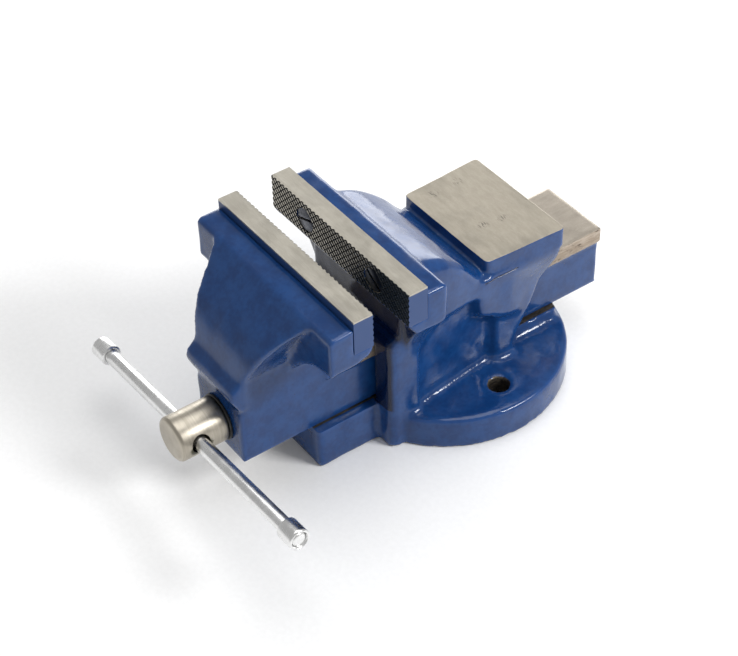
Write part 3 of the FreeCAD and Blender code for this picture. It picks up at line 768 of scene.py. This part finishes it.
def jaw_plate(name, node, grip, back):
    """Plate with its crosshatch on the face at Y = grip."""
    low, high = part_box(node)
    inward = 1.0 if back > grip else -1.0
    bm = bmesh.new()
    wide, narrow = [], []
    for k in range(-GROOVES_EACH_WAY, GROOVES_EACH_WAY + 1):
        for steps, half in ((wide, WIDE_HALF), (narrow, NARROW_HALF)):
            steps += [(k * PITCH - half, 0.0), (k * PITCH, 1.0), (k * PITCH + half, 0.0)]
    middle_z = (low.z + high.z) / 2
    grid = {}
    for i, (a, deep_a) in enumerate(wide):
        for j, (b, deep_b) in enumerate(narrow):
            x, z = (a - b) / math.sqrt(2), middle_z + (a + b) / math.sqrt(2)
            if abs(x) < high.x + 4 * MM and low.z - 4 * MM < z < high.z + 4 * MM:
                deep = max(deep_a, deep_b)
                grid[i, j] = bm.verts.new((x, grip + inward * deep * GROOVE_DEPTH, z))
    for i, j in grid:
        corners = [(i, j), (i + 1, j), (i + 1, j + 1), (i, j + 1)]
        if all(c in grid for c in corners):
            bm.faces.new([grid[c] for c in corners])
    for point, normal in ((low, (-1, 0, 0)), (high, (1, 0, 0)), (low, (0, 0, -1)), (high, (0, 0, 1))):
        slice_off(bm, point, normal, 1e-7)
    for depth_y in (grip + inward * GROOVE_DEPTH * 1.1, back):
        outside = [e for e in bm.edges if len(e.link_faces) == 1]
        pulled = bmesh.ops.extrude_edge_only(bm, edges=outside)["geom"]
        for vertex in (v for v in pulled if isinstance(v, bmesh.types.BMVert)):
            vertex.co.y = depth_y
    bmesh.ops.contextual_create(bm, geom=[e for e in bm.edges if len(e.link_faces) == 1])
    bmesh.ops.recalc_face_normals(bm, faces=bm.faces)
    piece = new_piece(name, from_bmesh(name, bm), plate_steel)
    for side in (-1, 1):
        cone = [(-2 * MM, 7.7 * MM), (1.0 * MM, 7.7 * MM), (4.4 * MM, 4.3 * MM), (14 * MM, 4.3 * MM)]
        tool = lathe(cone, 48)
        if inward < 0:
            bmesh.ops.scale(tool, vec=(1, -1, 1), verts=tool.verts)
            bmesh.ops.reverse_faces(tool, faces=tool.faces)
        bmesh.ops.translate(tool, vec=(side * SCREW_X, grip, SCREW_Z), verts=tool.verts)
        carve(piece, from_bmesh("countersink", tool))
    points = column(piece.data, "vertices", "co", 3)
    depth = np.abs(points[:, 1] - grip)
    on_face = depth < GROOVE_DEPTH * 1.01
    store(piece.data, "groove", np.where(on_face, depth / GROOVE_DEPTH, 0.0))
    store(piece.data, "back_side", np.full(len(points), inward))
    # Painted shade on the grip face, rising towards +X and downwards.
    shade_ramp = (points[:, 0] - 13 * MM + (SCREW_Z - points[:, 2]) * 1.1) / (16 * MM)
    store(piece.data, "painted_shade", np.where(on_face, np.clip(shade_ramp, 0, 1), 0.0))
    hand_over(piece, node, "base" if inward > 0 else "slide")


fixed_low, fixed_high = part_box("fixed_jaw_plate")
moving_low, moving_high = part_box("moving_jaw_plate")
jaw_plate("fixed_plate", "fixed_jaw_plate", fixed_low.y, fixed_high.y)
jaw_plate("moving_plate", "moving_jaw_plate", moving_high.y, moving_low.y)

# %% [markdown]
# The screw turns in the front wall of the slide. Its head and journal are turned, and the rest
# carries a square-cut thread with a 5 mm lead. The thread is one ribbon that climbs round the
# axis, with its root, flanks and crest, sliced flat at both ends. It is a real helix, so its
# outline is right wherever the hollow slide lets it be seen.

# %% Spindle
SPINDLE_Z = 44.8 * MM
HEAD_R, SHAFT_R, ROOT_R, LEAD = 13 * MM, 9 * MM, 6.9 * MM, 5 * MM
CREST_R = SHAFT_R - 0.05 * MM
BAR_Y, BAR_TILT = -170.2 * MM, 4.6  # where the bar crosses the head, and its slope in degrees
HOLE_R = 5.6 * MM
THREAD_FRONT, HEAD_FRONT, SHAFT_END = -111 * MM, -181.6 * MM, 80 * MM


def on_bar_axis(height):
    """Frame whose Y runs along the bar, at the given height of the screw's axis."""
    tilt = Matrix.Rotation(-math.radians(BAR_TILT), 4, "Y")
    return Matrix.Translation((0, BAR_Y, height)) @ tilt @ Matrix.Rotation(-math.pi / 2, 4, "Z")


# The straight part of the head has extra rings, so the stored stain can fade along it.
profile = [
    (HEAD_FRONT, 10.4 * MM), (HEAD_FRONT + 0.15 * MM, 11.3 * MM), (HEAD_FRONT + 0.7 * MM, 12.3 * MM),
    (HEAD_FRONT + 1.5 * MM, 12.85 * MM), (HEAD_FRONT + 2.4 * MM, HEAD_R), (-172 * MM, HEAD_R),
    (-161 * MM, HEAD_R), (-157.5 * MM, HEAD_R), (-154.6 * MM, HEAD_R), (-153.4 * MM, HEAD_R),
    (-152.7 * MM, 12.7 * MM), (-152.4 * MM, 12.1 * MM), (-152.4 * MM, SHAFT_R), (-112 * MM, SHAFT_R),
    (-111.2 * MM, ROOT_R + 0.3 * MM), (-110 * MM, ROOT_R + 0.2 * MM),
]
screw_head = new_piece("screw_head", from_bmesh("screw_head", lathe(profile, 96)), turned_steel)
tool = lathe([(-20 * MM, HOLE_R), (20 * MM, HOLE_R)], 64)
bmesh.ops.transform(tool, matrix=on_bar_axis(0), verts=tool.verts)
carve(screw_head, from_bmesh("cross_hole", tool))


def thread(start_y, stop_y, turn_steps=36):
    """Helical ribbon of one lead, from root over the crest and back to the root."""
    section = [(0.0, ROOT_R), (0.30, ROOT_R), (0.40, CREST_R), (0.86, CREST_R), (1.0, ROOT_R)]
    turns = int((stop_y - start_y) / LEAD) + 3
    bm = bmesh.new()
    rows = []
    for i in range(turns * turn_steps + 1):
        angle = 2 * math.pi * i / turn_steps
        base_y = start_y - 1.5 * LEAD + LEAD * i / turn_steps
        across, up = -math.cos(angle), math.sin(angle)
        rows.append([bm.verts.new((r * across, base_y + part * LEAD, r * up)) for part, r in section])
    for low, high in zip(rows, rows[1:]):
        for j in range(len(section) - 1):
            bm.faces.new((low[j], high[j], high[j + 1], low[j + 1]))
    bmesh.ops.remove_doubles(bm, verts=bm.verts, dist=1e-6)
    for place, direction in ((start_y, -1), (stop_y, 1)):
        slice_off(bm, (0, place, 0), (0, direction, 0), 1e-8)
        open_edges = [e for e in bm.edges if len(e.link_faces) == 1
                      and all(abs(v.co.y - place) < 1e-6 for v in e.verts)]
        bmesh.ops.contextual_create(bm, geom=open_edges)
    bmesh.ops.recalc_face_normals(bm, faces=bm.faces)
    return bm


screw_bm = thread(THREAD_FRONT, SHAFT_END)
screw_bm.from_mesh(screw_head.data)
smooth_by_angle(screw_bm, 28)
spindle = new_piece("screw_spindle", from_bmesh("screw_spindle", screw_bm), turned_steel)
bpy.data.objects.remove(screw_head)
points = column(spindle.data, "vertices", "co", 3)
upper = np.clip((points[:, 2] - 0.6 * points[:, 0]) / (9 * MM), 0, 1)
near_slide = np.clip((points[:, 1] + 161 * MM) / (9 * MM), 0, 1) * upper
at_rim = np.clip((points[:, 1] + 154.4 * MM) / (1.5 * MM), 0, 1)
from_hole = np.hypot(points[:, 1] - BAR_Y, points[:, 2])
in_hole = np.clip(1 - (from_hole - 5.4 * MM) / (0.6 * MM), 0, 1)
store(spindle.data, "stain", np.maximum.reduce([near_slide * 0.52, at_rim * 0.5, in_hole * 0.7]))
spindle.location.z = SPINDLE_Z
bpy.context.view_layer.update()
hand_over(spindle, "spindle", "screw")

# %% [markdown]
# The handle is a plated bar that slides through the head, with a cap pressed on each end. All
# three are turned shapes on one tilted axis, so one function places them. Each cap is a ring
# with rounded corners and a small recess in its end, where the riveted end of the bar shows.

# %% Handle
BAR_R = 4.25 * MM
BAR_FROM, BAR_TO = -95.4 * MM, 106 * MM
CAP_LENGTH_MM, CAP_STEPS = 12.5, 72
CAP_INSET_MM = 0.1  # how far a cap's outer end lies inside that of its CAD piece


def plated_piece(name, bm, node):
    """Finish a turned shape and lay it along the bar."""
    smooth_by_angle(bm, 35)
    piece = new_piece(name, from_bmesh(name, bm), zinc)
    piece.matrix_world = on_bar_axis(SPINDLE_Z)
    bpy.context.view_layer.update()
    hand_over(piece, node, "handle")


plated_piece("bar", lathe([
    (BAR_FROM + 0.4 * MM, 2.2 * MM), (BAR_FROM + 0.55 * MM, 3.2 * MM), (BAR_FROM + 1.1 * MM, 3.9 * MM),
    (BAR_FROM + 1.9 * MM, BAR_R), (BAR_TO - 1.9 * MM, BAR_R), (BAR_TO - 1.1 * MM, 3.9 * MM),
    (BAR_TO - 0.55 * MM, 3.2 * MM), (BAR_TO - 0.4 * MM, 2.2 * MM),
]), "handle_bar")


def cap(outer, inward):
    """Ring with a countersunk outer end; inward is +1 or -1 along the bar."""
    front = [(1.5, 4.32), (0.75, 4.40), (0.15, 4.75), (0.0, 4.95), (0.06, 5.35), (0.35, 5.80),
             (0.9, 6.12), (1.5, 6.2)]
    far = CAP_LENGTH_MM - CAP_INSET_MM
    back = [(far - 1.2, 6.2), (far - 0.6, 6.08), (far - 0.15, 5.6), (far, 5.1), (far, 4.32)]
    profile = [(outer + inward * along * MM, radius * MM) for along, radius in front + back]
    bm = lathe(profile, CAP_STEPS)
    ends = [f for f in bm.faces if len(f.verts) > 4]
    bmesh.ops.delete(bm, geom=ends, context="FACES_ONLY")
    rings = list(bm.verts)
    first, last = rings[:CAP_STEPS], rings[-CAP_STEPS:]
    for i in range(CAP_STEPS):
        bm.faces.new((first[i], first[i - 1], last[i - 1], last[i]))
    bmesh.ops.recalc_face_normals(bm, faces=bm.faces)
    return bm


plated_piece("cap_left", cap(BAR_FROM + CAP_INSET_MM * MM, 1.0), "handle_cap_left")
plated_piece("cap_right", cap(BAR_TO - CAP_INSET_MM * MM, -1.0), "handle_cap_right")

# %% [markdown]
# The remaining hardware has the right shape in the CAD model but razor-sharp edges. Each piece
# is copied with its seams closed, its flat faces joined and its edges bevelled by a fraction of
# a millimetre, which is enough to catch the light.


# %% Bevelled hardware
SHARP = math.radians(30)


def bevelled(name, node, body, material, width):
    bm = closed_copy(node)
    bmesh.ops.dissolve_limit(bm, angle_limit=math.radians(1.0), verts=bm.verts, edges=bm.edges)
    sharp = [e for e in bm.edges if len(e.link_faces) == 2 and e.calc_face_angle(0.0) > SHARP]
    bevel_edges(bm, sharp, width)
    smooth_by_angle(bm, 40)
    hand_over(new_piece(name, from_bmesh(name, bm), material), node, body)


bevelled("fixed_screws", "fixed_plate_screws", "base", screw_face, 0.12 * MM)
bevelled("moving_screws", "moving_plate_screws", "slide", screw_face, 0.12 * MM)
bevelled("screw_nut", "spindle_nut", "base", nut_iron, 0.5 * MM)
bevelled("bolts_under_nut", "nut_bolts", "base", black_oxide, 0.25 * MM)
bevelled("bolt_washers", "nut_bolt_washers", "base", plain_washer, 0.15 * MM)
bevelled("lock_washers", "nut_lock_washers", "base", plain_washer, 0.2 * MM)
bevelled("head_washer", "thrust_washer", "screw", black_oxide, 0.1 * MM)
bevelled("spring_seat", "spring_seat_washer", "screw", plain_washer, 0.1 * MM)
bevelled("washer_at_pin", "pin_washer", "screw", plain_washer, 0.1 * MM)

# %% [markdown]
# The spring and the split pin are already round all over, so the CAD meshes stay and only get
# their finish.

# %% Spring and split pin
for node, material in (("spindle_spring", black_oxide), ("split_pin", plain_washer)):
    nodes[node].data.materials.clear()
    nodes[node].data.materials.append(material)
    print("kept", node, "with", material.name)

# %% [markdown]
# A plain pale floor for the vise to stand on. It isn't part of the object. A very light grain keeps it from
# looking like a sheet of plastic.

# %% Floor
floor_material, tree, shader, where = new_material("pale_floor")
grain = noise(tree, where, 350.0, 4.0, 0.6)
pale = mix(tree, ease(tree, grain, 0.3, 0.7), (0.91, 0.91, 0.91), (0.94, 0.94, 0.94))
tree.links.new(pale, shader.inputs["Base Color"])
tree.links.new(ease(tree, grain, 0.3, 0.7, 0.55, 0.65), shader.inputs["Roughness"])
bm = bmesh.new()
bmesh.ops.create_grid(bm, x_segments=8, y_segments=8, size=6.0)
bmesh.ops.translate(bm, vec=(0, 0, -0.2 * MM), verts=bm.verts)
floor = new_piece("floor", from_bmesh("floor", bm), floor_material)
print("floor at", floor.data.vertices[0].co.z)

# %% [markdown]
# Soft studio light. Three panels stand for soft boxes: a smaller key panel high on the +X side
# beyond the anvil, a long one low on the -X side, which draws the pale bands on the enamel, and
# a large one overhead. A pale world fills in from all round. Panels give the long highlights
# of glossy paint without hard shadows.


# %% Light
WORLD_STRENGTH = 0.44


def panel(name, place, target, width, height, power):
    light = bpy.data.lights.new(name, "AREA")
    light.shape, light.size, light.size_y = "RECTANGLE", width, height
    light.energy = power
    lamp = bpy.data.objects.new(name, light)
    lamp.location = place
    lamp.rotation_euler = (Vector(target) - Vector(place)).to_track_quat("-Z", "Y").to_euler()
    scene.collection.objects.link(lamp)


panel("key_panel", (1.05, 0.62, 0.98), (0, 0, 0.05), 0.5, 0.34, 16.0)
panel("back_panel", (-1.3, 0.95, 0.42), (0, 0, 0.05), 1.5, 0.7, 14.0)
panel("top_panel", (-0.15, 0.1, 1.7), (0, 0, 0), 1.2, 1.2, 11.0)
world = bpy.data.worlds.new("pale_studio")
world.use_nodes = True
sky = world.node_tree.nodes["Background"].inputs
sky["Color"].default_value = (1, 1, 1, 1)
sky["Strength"].default_value = WORLD_STRENGTH
scene.world = world
scene.view_settings.view_transform = "Standard"
scene.view_settings.look = "None"

# %% [markdown]
# The camera looks down on the vise from the right of the handle, with a slight roll. Its long
# lens keeps the far jaw nearly as large as the near one, as in a product view.

# %% Camera
CAMERA_PLACE = (0.65875, -0.50536, 0.77702)
LOOKS_ALONG = (-0.61124, 0.42041, -0.67056)
FOCAL_MM, SENSOR_MM, ROLL_DEGREES = 95.2, 36.0, -1.81

lens = bpy.data.cameras.new("camera")
lens.lens, lens.sensor_width = FOCAL_MM, SENSOR_MM
lens.clip_start, lens.clip_end = 0.01, 50.0
camera = bpy.data.objects.new("camera", lens)
forward = Vector(LOOKS_ALONG).normalized()
right = forward.cross(Vector((0, 0, 1))).normalized()
up = right.cross(forward)
roll = math.radians(ROLL_DEGREES)
side = right * math.cos(roll) + up * math.sin(roll)
head_up = up * math.cos(roll) - right * math.sin(roll)
turn = Matrix((side, head_up, -forward)).transposed().to_4x4()
camera.matrix_world = Matrix.Translation(CAMERA_PLACE) @ turn
scene.collection.objects.link(camera)
scene.camera = camera
print("camera at", tuple(round(c, 3) for c in camera.location))

# %% [markdown]
# Last, the view layer is updated once more.

# %% Finish
bpy.context.view_layer.update()
